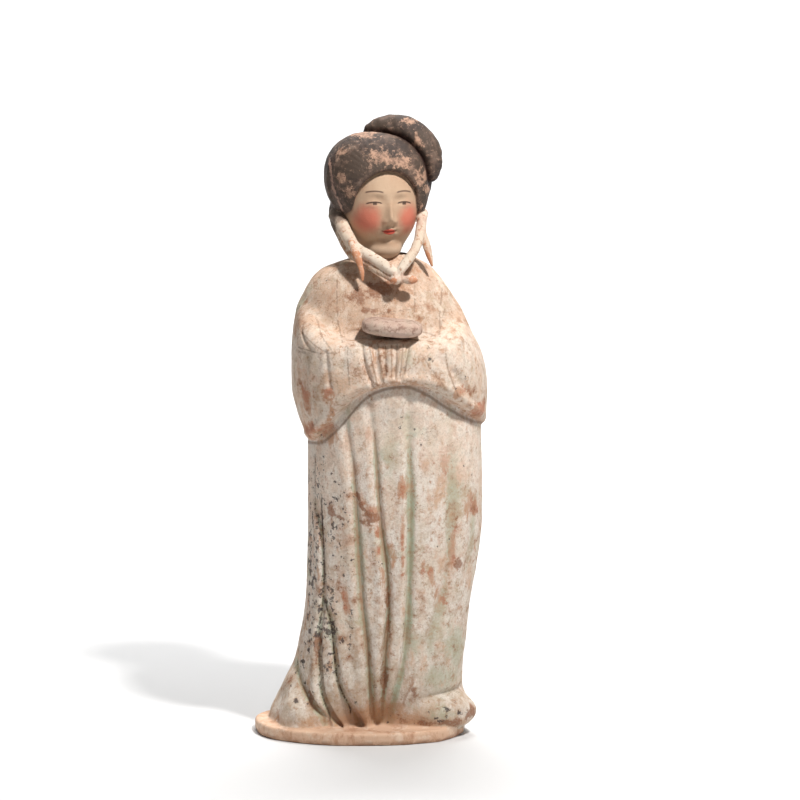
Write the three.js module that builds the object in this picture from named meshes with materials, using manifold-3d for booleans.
// Painted pottery figure of a court lady, standing on a thin hand-cut clay slab.
// Units are millimetres, +Z is up, and the lady faces -Y.
// The origin is on the slab's underside, under the middle of its width.
// Figure, slab, held bundle, scarf and hair were luted together and fired as one piece,
// so the whole object is one solid.

import * as THREE from 'three';
import { mergeVertices } from 'three/addons/utils/BufferGeometryUtils.js';
import Module from 'manifold-3d';

const wasm = await Module();
wasm.setup();

// Driving dimensions of the slab and of the figure that stands on it
const FIGURE_HEIGHT = 470;
const SLAB_THICKNESS = 10;
const SLAB_MARGIN_LEFT = 12;
const SLAB_MARGIN_RIGHT = 0;
const SLAB_MARGIN_FRONT = 17;
const SLAB_MARGIN_BACK = 6;
const SLAB_EDGE_ROUNDING = 1.2;
const SLAB_SQUARENESS = 2.35;
const SLAB_SIDES = 44;

// The pose and carving are written in shares of the figure's height: 470 shares high,
// measured up from the top of the slab.
const SHARE = FIGURE_HEIGHT / 470;

// How far each form sinks into the one it is luted to
const SEAT = 3 * SHARE;

// Height of the middle of the head, which the neck reaches into
const HEAD_HEIGHT = 403;
const NECK_BASE = HEAD_HEIGHT - 29;
const NECK_TOP = HEAD_HEIGHT - 17;

// Skirt outline by height: [height, left, right, front, back]
const SKIRT = [
  [-SEAT, -72, 82, -46, 50],
  [6, -71, 82.5, -46, 50],
  [14, -67.5, 82.5, -46, 49],
  [22, -63.5, 79.5, -47, 48],
  [30, -60, 79, -48, 47],
  [45, -53, 79, -50, 46],
  [61, -49, 81, -51.5, 45],
  [93, -43.7, 84.3, -53.5, 44],
  [124, -42.2, 89.7, -56, 44],
  [156, -41.4, 93.6, -58.5, 46],
  [187, -41.4, 93.6, -60, 48],
  [218, -41.4, 93, -60, 49],
  [245, -42, 92, -58, 49],
  [280, -42, 86, -54, 47],
];

// Robe with folded arms, by height: [height, left, right, chest front, back, sleeve front]
const ROBE = [
  [218, -40.5, 92, -50, 49, -58],
  [227, -43, 93.5, -50, 49.5, -62],
  [242, -47.8, 96, -50, 50, -66],
  [257, -51.4, 97.6, -49, 50, -70],
  [273, -52, 95.5, -48, 50, -73],
  [289, -52, 90.5, -47, 49.5, -74],
  [304, -51, 83.5, -46, 49, -70],
  [319, -48.5, 76.5, -44, 47, -60],
  [327, -46.4, 72.4, -42, 45, -50],
  [335, -43.5, 68.2, -39.5, 43, -42],
  [342, -39.6, 63.5, -36, 40, -37],
  [347, -35.8, 59.5, -33, 37, -33],
  [352, -29.6, 55, -28, 33, -28],
  [356, -20, 50, -23, 28, -23],
  [360, -8, 42, -18, 23, -18],
  [366, -2, 34, -15, 19, -15],
  [NECK_BASE, -3, 31, -15, 18, -15],
  [NECK_TOP, -2, 30, -13, 17, -13],
];

// Lower edge of the sleeves along the figure's width: [x, height]
const SLEEVE_HEM = [[-60, 221], [-31, 223], [-16, 236], [5, 260], [28, 268.5], [45, 265], [65, 251.5],
  [83, 240.5], [104, 231]];
const SLEEVE_HEM_BACK = 226;
const SLEEVE_LIP = 7;

// Shelf where the forearms cross the chest
const FOREARM_TOP = 299;
const SHELF_LEFT = -20;
const SHELF_RIGHT = 66;
const SHELF_FADE = 14;

// How square the plan of the body is: 2 is an ellipse
const SQUARENESS = 2.3;

// Skirt folds: the line of each groove as [height, x], its depth as [height, depth]
const FOLDS = [
  { line: [[0, -30], [14, -43], [27, -50], [60, -50]], depth: [[0, 4], [25, 3.5], [60, 0]], across: 4 },
  { line: [[0, -18], [15, -26], [30, -31], [76, -31], [100, -28], [150, -30], [171, -34], [205, -35]],
    depth: [[0, 7], [30, 5.5], [100, 3.5], [170, 1.6], [205, 0]], across: 4 },
  { line: [[0, -2], [15, -8], [43, -18], [87, -23.5], [120, -23], [205, -26]],
    depth: [[0, 6], [43, 4.5], [90, 2.2], [115, 0]], across: 3 },
  { line: [[0, 11], [23, 9], [70, 4], [112, 0], [189, -5], [239, -9]],
    depth: [[0, 6], [50, 3], [110, 2], [239, 1.4]], across: 4 },
  { line: [[0, 15], [37, 18], [76, 21], [106, 21], [163, 15], [201, 12], [239, 9]],
    depth: [[0, 5], [50, 4.2], [120, 4], [239, 2.6]], across: 3 },
  { line: [[0, 22], [30, 28], [52, 33], [76, 36], [189, 38], [236, 36]],
    depth: [[0, 4], [50, 3.6], [120, 3.6], [236, 2]], across: 4 },
  { line: [[0, 30], [39, 44], [76, 55], [103, 62], [131, 66], [170, 69], [239, 68]],
    depth: [[0, 4], [39, 4], [76, 3], [239, 2]], across: 5 },
];
const SIDE_COLUMNS = 5;

// Softer folds across the back, by angle in degrees
const BACK_FOLD_ANGLES = [18, 46, 74, 100, 128, 156];
const BACK_FOLD_DEPTH = [[0, 4], [60, 2.5], [140, 1.2], [230, 0.6]];
const BACK_COLUMNS = 4;

// The hem is drawn back between the feet
const HEM_RECESS = 12;
const HEM_RECESS_TOP = 34;
const HEM_RECESS_X = 14;
const HEM_RECESS_HALF_WIDTH = 34;

// Mounds of the robe over the shoes: x, height, their half sizes, and how far they stand out
const SHOE_MOUNDS = [
  { x: 62, height: 11, halfWidth: 18, halfHeight: 17, proud: 8 },
  { x: -46, height: 2, halfWidth: 14, halfHeight: 20, proud: 7 },
];

// Creases of the sleeves and chest: [from x, from height, to x, to height, half width, depth]
const CREASES = [
  [-34, 328, -28, 306, 5, 1],
  [-28, 306, -19, 288, 5.5, 2.2],
  [-45, 287, -21, 288, 5, 1.4],
  [-24, 284, -36, 248, 5.5, 1.6],
  [65, 294, 84, 270, 5.5, 1.4],
  [74, 284, 80, 246, 5.5, 1.6],
  [-19, 340, -13, 304, 4.5, 0.9],
  [67, 324, 63, 306, 4.5, 0.9],
];

// Gathered cloth over the hands: alternate columns of this stretch stand proud
const GATHER_LEFT = 2;
const GATHER_RIGHT = 41;
const GATHER_DEPTH = 0.9;

// Head: its axis, its turn to the lady's left, and the oval under the hair
const HEAD_X = 14;
const HEAD_Y = -1;
const HEAD_TURN = THREE.MathUtils.degToRad(15);
const HEAD_HALF = { width: 30, depth: 34, height: 41 };
const HEAD_COLUMNS = 30;
const HEAD_ROWS = 22;

// Clay bundle held on the hands
const BUNDLE = { x: 24, y: -58, height: 311, halfWidth: 23, halfDepth: 21, halfHeight: 6.8 };

// Value at a height of a list of stations, as a smooth curve through them
function smoothAlong(stations, at, column = 1) {
  const last = stations.length - 1;
  if (at <= stations[0][0]) return stations[0][column];
  if (at >= stations[last][0]) return stations[last][column];
  let i = 0;
  while (stations[i + 1][0] < at) i += 1;
  const slope = (k) => {
    const before = stations[Math.max(k - 1, 0)];
    const after = stations[Math.min(k + 1, last)];
    return (after[column] - before[column]) / (after[0] - before[0]);
  };
  const span = stations[i + 1][0] - stations[i][0];
  const t = (at - stations[i][0]) / span;
  const from = stations[i][column];
  const to = stations[i + 1][column];
  const rise = t * t * (3 - 2 * t);
  return from + (to - from) * rise
    + span * (slope(i) * t * (1 - t) * (1 - t) - slope(i + 1) * t * t * (1 - t));
}

const mix = (from, to, t) => from + (to - from) * t;
const bell = (distance, halfWidth) => Math.exp(-((distance / halfWidth) ** 2));

// Plan outline of the body at one height, measured from its own middle
function skirtSection(height) {
  const left = smoothAlong(SKIRT, height, 1);
  const right = smoothAlong(SKIRT, height, 2);
  const middleY = 8 * bell(height, 60) - 4;
  return {
    x: (left + right) / 2,
    y: middleY,
    halfWidth: (right - left) / 2,
    front: middleY - smoothAlong(SKIRT, height, 3),
    back: smoothAlong(SKIRT, height, 4) - middleY,
  };
}

function robeSection(height, frontColumn) {
  const left = smoothAlong(ROBE, height, 1);
  const right = smoothAlong(ROBE, height, 2);
  const middleY = -2;
  return {
    x: (left + right) / 2,
    y: middleY,
    halfWidth: (right - left) / 2,
    front: middleY - smoothAlong(ROBE, height, frontColumn),
    back: smoothAlong(ROBE, height, 4) - middleY,
  };
}

// Distance from a section's middle to its outline in one direction
function reach(section, angle, squareness = SQUARENESS) {
  const depth = Math.sin(angle) < 0 ? section.front : section.back;
  const across = Math.abs(Math.cos(angle)) / section.halfWidth;
  const along = Math.abs(Math.sin(angle)) / depth;
  return (across ** squareness + along ** squareness) ** (-1 / squareness);
}

// Direction in which a section's front outline passes a given x
function angleAtX(section, x) {
  const across = Math.min(Math.abs((x - section.x) / section.halfWidth), 0.985);
  const depth = section.front * (1 - across ** SQUARENESS) ** (1 / SQUARENESS);
  return Math.atan2(-depth, Math.sign(x - section.x) * across * section.halfWidth);
}

// Every vertical column of the body: the panel between two grooves that it lies in,
// and its place across that panel, closer together beside the grooves
function bodyColumns() {
  const columns = [];
  const addPanel = (from, to, count) => {
    for (let k = 0; k < count; k += 1) {
      columns.push({ from, to, t: (1 - Math.cos((Math.PI * k) / count)) / 2 });
    }
  };
  const side = (angle) => ({ angle, depth: [[0, 0]] });
  const backFolds = BACK_FOLD_ANGLES.map((degrees) => (
    { angle: THREE.MathUtils.degToRad(degrees), depth: BACK_FOLD_DEPTH }));
  const front = [side(-Math.PI), ...FOLDS, side(0)];
  const back = [side(0), ...backFolds, side(Math.PI)];
  for (let k = 0; k + 1 < front.length; k += 1) {
    const count = front[k + 1].across ?? SIDE_COLUMNS;
    addPanel(front[k], front[k + 1], count);
  }
  for (let k = 0; k + 1 < back.length; k += 1) addPanel(back[k], back[k + 1], BACK_COLUMNS);
  return columns;
}

function railAngle(rail, section, height) {
  return rail.line ? angleAtX(section, smoothAlong(rail.line, height)) : rail.angle;
}

// One point of the skirt: its outline, its grooves and the recess between the feet
function skirtPoint(column, height) {
  const section = skirtSection(height);
  const from = railAngle(column.from, section, height);
  const to = railAngle(column.to, section, height);
  const angle = mix(from, to, column.t);
  const depth = mix(smoothAlong(column.from.depth, height), smoothAlong(column.to.depth, height), column.t);
  const pillow = 1 - (2 * column.t - 1) ** 4;
  const x = section.x + reach(section, angle) * Math.cos(angle);
  const recessHeight = Math.max(0, 1 - height / HEM_RECESS_TOP) ** 1.5;
  const recess = Math.sin(angle) < 0
    ? HEM_RECESS * Math.min(recessHeight, 1) * bell(x - HEM_RECESS_X, HEM_RECESS_HALF_WIDTH) : 0;
  let proud = 0;
  if (Math.sin(angle) < 0) {
    for (const mound of SHOE_MOUNDS) {
      const away = Math.hypot((x - mound.x) / mound.halfWidth, (height - mound.height) / mound.halfHeight);
      proud += mound.proud * Math.exp(-(away ** 4));
    }
  }
  const radius = reach(section, angle) + depth * (pillow - 1) - recess + proud;
  return {
    angle,
    radius,
    point: new THREE.Vector3(
      section.x + radius * Math.cos(angle), section.y + radius * Math.sin(angle), height),
  };
}

// How much a crease lowers the robe at a place seen from the front
function creaseDepth(x, height) {
  let depth = 0;
  for (const [x0, z0, x1, z1, halfWidth, most] of CREASES) {
    const length2 = (x1 - x0) ** 2 + (z1 - z0) ** 2;
    const t = THREE.MathUtils.clamp(((x - x0) * (x1 - x0) + (height - z0) * (z1 - z0)) / length2, 0, 1);
    const distance = Math.hypot(x - mix(x0, x1, t), height - mix(z0, z1, t));
    depth += most * bell(distance, halfWidth);
  }
  return depth;
}

// One point of the robe, part sleeve (1) and part chest (0)
function robePoint(angle, height, sleeve, proud) {
  const chestSection = robeSection(height, 3);
  const sleeveSection = robeSection(height, 5);
  const x = chestSection.x + reach(chestSection, angle) * Math.cos(angle);
  const crease = Math.sin(angle) < 0 ? creaseDepth(x, height) : 0;
  const radius = mix(reach(chestSection, angle), reach(sleeveSection, angle), sleeve) - crease + proud;
  return new THREE.Vector3(
    chestSection.x + radius * Math.cos(angle), chestSection.y + radius * Math.sin(angle), height);
}

const SKIRT_ROWS = [0, 0.04, 0.07, 0.11, 0.155, 0.2, 0.26, 0.33, 0.41, 0.5, 0.59, 0.68, 0.77, 0.86, 0.94, 1];
const SLEEVE_ROWS = [0.3, 0.6, 0.85];
const CHEST_ROWS = [309, 319, 329, 337, 343, 348, 352.5, 356, 360, 366, NECK_BASE, NECK_TOP];

// One column of the body from the hem to the neck: skirt, the sleeves' lower edge, the
// sleeve, the shelf of the forearms, and the chest and shoulder
function bodyColumn(column, index) {
  const trial = skirtPoint(column, SLEEVE_HEM_BACK + 14);
  const isFront = Math.sin(trial.angle) < 0;
  const frontHem = smoothAlong(SLEEVE_HEM, trial.point.x);
  const turn = Math.max(0, Math.sin(trial.angle));
  const hem = mix(frontHem, SLEEVE_HEM_BACK, Math.min(1, 2 * turn));
  const points = SKIRT_ROWS.slice(0, -1).map((row) => skirtPoint(column, mix(-SEAT, hem - 3, row)).point);
  const crease = skirtPoint(column, hem);
  const angle = crease.angle;
  const gathered = isFront && trial.point.x > GATHER_LEFT && trial.point.x < GATHER_RIGHT;
  const proud = gathered ? GATHER_DEPTH * (index % 2 ? 1 : -1) : 0;

  const lip = robePoint(angle, hem + SLEEVE_LIP, 1, proud);
  const middle = robeSection(hem, 3);
  const centre = new THREE.Vector3(middle.x, middle.y, hem);
  const ledge = lip.distanceTo(new THREE.Vector3(centre.x, centre.y, lip.z)) - crease.radius;
  const undercut = THREE.MathUtils.clamp(ledge / 6, 0, 1);
  crease.point.z = hem - 3 + 5 * undercut;
  const under = crease.point.clone().lerp(lip, 0.6);
  under.z = hem - 0.5;
  const edge = crease.point.clone().lerp(lip, 0.93);
  edge.z = hem + 2.5;
  points.push(crease.point, under, edge, lip);

  const shelf = isFront
    ? THREE.MathUtils.smoothstep(trial.point.x, SHELF_LEFT - SHELF_FADE, SHELF_LEFT + SHELF_FADE)
      * (1 - THREE.MathUtils.smoothstep(trial.point.x, SHELF_RIGHT - SHELF_FADE, SHELF_RIGHT + SHELF_FADE))
    : 0;
  const shoulder = mix(FOREARM_TOP - 9, FOREARM_TOP - 4, shelf);
  for (const row of SLEEVE_ROWS) {
    points.push(robePoint(angle, mix(hem + SLEEVE_LIP, shoulder, row), 1, proud));
  }
  points.push(robePoint(angle, shoulder, mix(0.75, 0.92, shelf), proud));
  points.push(robePoint(angle, mix(FOREARM_TOP - 2, FOREARM_TOP + 0.5, shelf), mix(0.4, 0.6, shelf), 0));
  points.push(robePoint(angle, mix(FOREARM_TOP + 4, FOREARM_TOP + 1.5, shelf), mix(0.2, 0.05, shelf), 0));
  for (const height of CHEST_ROWS) points.push(robePoint(angle, height, 0, 0));
  return points;
}

// Closed skin over columns of points, bottom to top, with a flat middle at each end
function skin(columns) {
  const rows = columns[0].length;
  const count = columns.length;
  const points = columns.flat();
  const middle = (row) => {
    const sum = new THREE.Vector3();
    for (const column of columns) sum.add(column[row]);
    return sum.divideScalar(count);
  };
  const bottom = points.push(middle(0)) - 1;
  const top = points.push(middle(rows - 1)) - 1;
  const index = [];
  for (let j = 0; j < count; j += 1) {
    const here = j * rows;
    const next = ((j + 1) % count) * rows;
    for (let i = 0; i + 1 < rows; i += 1) {
      index.push(here + i, next + i, next + i + 1, here + i, next + i + 1, here + i + 1);
    }
    index.push(bottom, next, here);
    index.push(top, here + rows - 1, next + rows - 1);
  }
  const geometry = new THREE.BufferGeometry().setFromPoints(points);
  geometry.setIndex(index);
  return geometry;
}

function body() {
  const columns = bodyColumns();
  return skin(columns.map((column, index) => bodyColumn(column, index)));
}

// Head in its own frame: x to the lady's left, y forward, z up from its middle.
// The face is a plain calm oval on even proportions: eyes at half height, nose a quarter below.
function headPoint(turn, share) {
  const { width, depth, height } = HEAD_HALF;
  const lean = Math.PI * share;
  const z = -Math.cos(lean);
  const round = Math.sin(lean);
  const jaw = 1 - 0.16 * Math.max(0, -z) ** 2;
  const x = Math.sin(turn) * round * jaw;
  const y = Math.cos(turn) * round;
  const side = x * width;
  const up = z * height;
  let forward = 0;
  if (y > 0) {
    forward += 5.2 * bell(side, 3.6) * bell(up + 12, 6) + 2 * bell(side, 3) * bell(up + 5, 6);
    forward -= 1.5 * (bell(side - 12, 6) + bell(side + 12, 6)) * bell(up, 4.5);
    forward += 1.7 * bell(side, 6.5) * bell(up + 22, 3.4);
    forward += 1.2 * bell(side, 8) * bell(up + 33, 5);
    forward += 1.6 * (bell(side - 16, 9) + bell(side + 16, 9)) * bell(up + 16, 10);
  }
  return new THREE.Vector3(side, y * depth + forward, up);
}

// Place a point of the head's own frame in the figure's frame
function inHeadFrame(point) {
  const cos = Math.cos(HEAD_TURN);
  const sin = Math.sin(HEAD_TURN);
  return new THREE.Vector3(
    HEAD_X + point.x * cos + point.y * sin, HEAD_Y + point.x * sin - point.y * cos, HEAD_HEIGHT + point.z);
}

function head() {
  const columns = [];
  for (let j = 0; j < HEAD_COLUMNS; j += 1) {
    const even = (2 * Math.PI * j) / HEAD_COLUMNS;
    const turn = even - 0.62 * Math.sin(even);
    const column = [];
    for (let i = 0; i < HEAD_ROWS; i += 1) {
      column.push(inHeadFrame(headPoint(turn, mix(0.04, 0.97, i / (HEAD_ROWS - 1)))));
    }
    columns.push(column);
  }
  return skin(columns);
}

// Egg whose half sizes differ towards its low and high side along each axis; squareness 2 is
// a plain ellipsoid
function egg(centre, low, high, squareness = 2, around = 16, rows = 10) {
  const geometry = new THREE.SphereGeometry(1, around, rows);
  geometry.rotateX(Math.PI / 2);
  const position = geometry.attributes.position;
  const point = new THREE.Vector3();
  for (let i = 0; i < position.count; i += 1) {
    point.fromBufferAttribute(position, i);
    const sum = Math.abs(point.x) ** squareness + Math.abs(point.y) ** squareness
      + Math.abs(point.z) ** squareness;
    point.multiplyScalar(sum ** (-1 / squareness));
    point.set(
      point.x * (point.x < 0 ? low.x : high.x),
      point.y * (point.y < 0 ? low.y : high.y),
      point.z * (point.z < 0 ? low.z : high.z));
    point.add(centre);
    position.setXYZ(i, point.x, point.y, point.z);
  }
  return geometry;
}

// Rounded roll along a smooth path of stations [x, y, height above the base, half thickness];
// flat < 1 thins it across the path
function roll(stations, base, steps, sides, flat = 1) {
  const path = new THREE.CatmullRomCurve3(
    stations.map(([x, y, z]) => new THREE.Vector3(x, y, base + z)));
  const frames = path.computeFrenetFrames(steps, false);
  const columns = [];
  for (let j = 0; j < sides; j += 1) {
    const turn = (2 * Math.PI * j) / sides;
    const column = [];
    for (let i = 0; i <= steps; i += 1) {
      const place = (i / steps) * (stations.length - 1);
      const k = Math.min(Math.floor(place), stations.length - 2);
      const half = mix(stations[k][3], stations[k + 1][3], place - k);
      column.push(path.getPoint(i / steps)
        .addScaledVector(frames.normals[i], half * Math.cos(turn))
        .addScaledVector(frames.binormals[i], half * flat * Math.sin(turn)));
    }
    columns.push(column);
  }
  return skin(columns);
}

const xyz = (x, y, z) => new THREE.Vector3(x, y, z);

// Move a geometry from the head's own frame, which is turned with the face, to the figure's
function turnWithHead(geometry) {
  const position = geometry.attributes.position;
  const point = new THREE.Vector3();
  for (let i = 0; i < position.count; i += 1) {
    const placed = inHeadFrame(point.fromBufferAttribute(position, i));
    position.setXYZ(i, placed.x, placed.y, placed.z);
  }
  geometry.setIndex(Array.from(geometry.index.array).reverse());
  return geometry;
}

// Full hair combed up and out round the face: a wide soft puff with an arched opening
function puff() {
  return turnWithHead(egg(xyz(0, -2, 21), xyz(42, 37, 40), xyz(41.5, 35, 34), 2.2, 28, 18));
}

function faceOpening() {
  return turnWithHead(egg(xyz(0, 32, -6), xyz(27, 40, 40), xyz(26.5, 40, 31), 2, 26, 14));
}

// Roll of hair that falls forward over the puff from the crown; heights from the head's middle
function topknot() {
  return roll([[2, 6, 46, 4], [8, 4, 51.5, 8], [18, 2, 55.7, 10.2], [31, 0, 55.1, 11.5], [42, -2, 48.5, 12.4],
    [50, -4, 38.5, 11.8], [53, -5, 28, 9.2], [52, -5, 20.5, 6.5], [50.5, -5, 16, 2.5]], HEAD_HEIGHT, 16, 11);
}

// Scarf that passes round the nape and meets in a knot under the chin, and its hanging ends;
// heights from the head's middle
function scarf() {
  const band = [[32, -42, -60, 3.5], [29, -43, -56.5, 5], [20, -41.5, -49, 5.2], [8.6, -36, -42, 5.2],
    [-4, -26, -35, 5.2], [-12, -12, -24, 5.4], [-15, 2, -12, 6.5], [-11, 18, -9, 8], [4, 28, -12, 8],
    [24, 29, -12, 8], [39, 20, -10, 7.5], [46, 6, -8, 6.5], [47, -8, -11, 5], [45.5, -20, -21, 4.8],
    [43.5, -30, -33, 4.8], [38, -38, -42.5, 4.8], [33, -42.5, -50, 4.8], [31.5, -43, -57, 3.5]];
  const leftEnd = [[-10, -24, -27, 3], [-8, -30, -33, 4.4], [-5, -33, -41, 4.4], [-1, -36, -52, 4],
    [2, -38, -64, 1.8]];
  const rightEnd = [[47, -16, -1, 2.4], [47, -19, -13, 3.6], [50, -21, -29, 3.6], [53, -23, -43, 3.2],
    [54.6, -24, -51.5, 1.4]];
  return [
    roll(band, HEAD_HEIGHT, 44, 8),
    roll(leftEnd, HEAD_HEIGHT, 9, 6, 0.75),
    roll(rightEnd, HEAD_HEIGHT, 9, 6, 0.75),
    egg(xyz(28, -42.5, HEAD_HEIGHT - 59), xyz(5.4, 4.4, 5), xyz(5.4, 4.4, 5), 2, 10, 7),
    egg(xyz(38.5, -41, HEAD_HEIGHT - 58.5), xyz(5.6, 4.2, 4.8), xyz(5.6, 4.2, 4.8), 2, 10, 7),
  ];
}

// Padded bundle on the hands, a flat pillow
function bundle() {
  const half = xyz(BUNDLE.halfWidth, BUNDLE.halfDepth, BUNDLE.halfHeight);
  return egg(xyz(BUNDLE.x, BUNDLE.y, BUNDLE.height), half, half, 3, 24, 10);
}

// Slab cut round the hem by hand, as a rounded outline with eased edges
function slab() {
  const hem = skirtSection(0);
  const left = (hem.x - hem.halfWidth) * SHARE - SLAB_MARGIN_LEFT;
  const right = (hem.x + hem.halfWidth) * SHARE + SLAB_MARGIN_RIGHT;
  const outline = {
    halfWidth: (right - left) / 2 - SLAB_EDGE_ROUNDING,
    front: hem.front * SHARE + SLAB_MARGIN_FRONT - SLAB_EDGE_ROUNDING,
    back: hem.back * SHARE + SLAB_MARGIN_BACK - SLAB_EDGE_ROUNDING,
  };
  const points = [];
  for (let k = 0; k < SLAB_SIDES; k += 1) {
    const angle = (2 * Math.PI * k) / SLAB_SIDES;
    const radius = reach(outline, angle, SLAB_SQUARENESS);
    points.push(new THREE.Vector2(radius * Math.cos(angle), radius * Math.sin(angle)));
  }
  const geometry = new THREE.ExtrudeGeometry(new THREE.Shape(points), {
    depth: SLAB_THICKNESS - 2 * SLAB_EDGE_ROUNDING,
    bevelEnabled: true,
    bevelThickness: SLAB_EDGE_ROUNDING,
    bevelSize: SLAB_EDGE_ROUNDING,
    bevelSegments: 1,
  });
  geometry.translate((left + right) / 2, hem.y * SHARE, SLAB_EDGE_ROUNDING);
  return geometry;
}

// Closed mesh with shared vertices as a solid that can be joined
function solidOf(geometry) {
  geometry.deleteAttribute('normal');
  geometry.deleteAttribute('uv');
  const merged = mergeVertices(geometry, 1e-4);
  return new wasm.Manifold(new wasm.Mesh({
    numProp: 3,
    vertProperties: new Float32Array(merged.attributes.position.array),
    triVerts: new Uint32Array(merged.index.array),
  }));
}

function geometryOf(solid) {
  const mesh = solid.getMesh();
  const geometry = new THREE.BufferGeometry();
  geometry.setAttribute('position', new THREE.BufferAttribute(new Float32Array(mesh.vertProperties), 3));
  geometry.setIndex(new THREE.BufferAttribute(new Uint32Array(mesh.triVerts), 1));
  geometry.computeVertexNormals();
  return geometry;
}

// The figure's forms stand on the slab, at the figure's own scale
function onSlab(geometry) {
  geometry.scale(SHARE, SHARE, SHARE);
  geometry.translate(0, 0, SLAB_THICKNESS);
  return geometry;
}

function courtLady() {
  const forms = [body(), head(), topknot(), ...scarf(), bundle()];
  let whole = solidOf(onSlab(puff())).subtract(solidOf(onSlab(faceOpening()))).add(solidOf(slab()));
  for (const form of forms) whole = whole.add(solidOf(onSlab(form)));
  const material = new THREE.MeshStandardMaterial({ color: 0xd9c9ae, roughness: 0.9, metalness: 0 });
  const mesh = new THREE.Mesh(geometryOf(whole), material);
  mesh.name = 'court_lady';
  return mesh;
}

const group = new THREE.Group();
group.add(courtLady());

export default group;
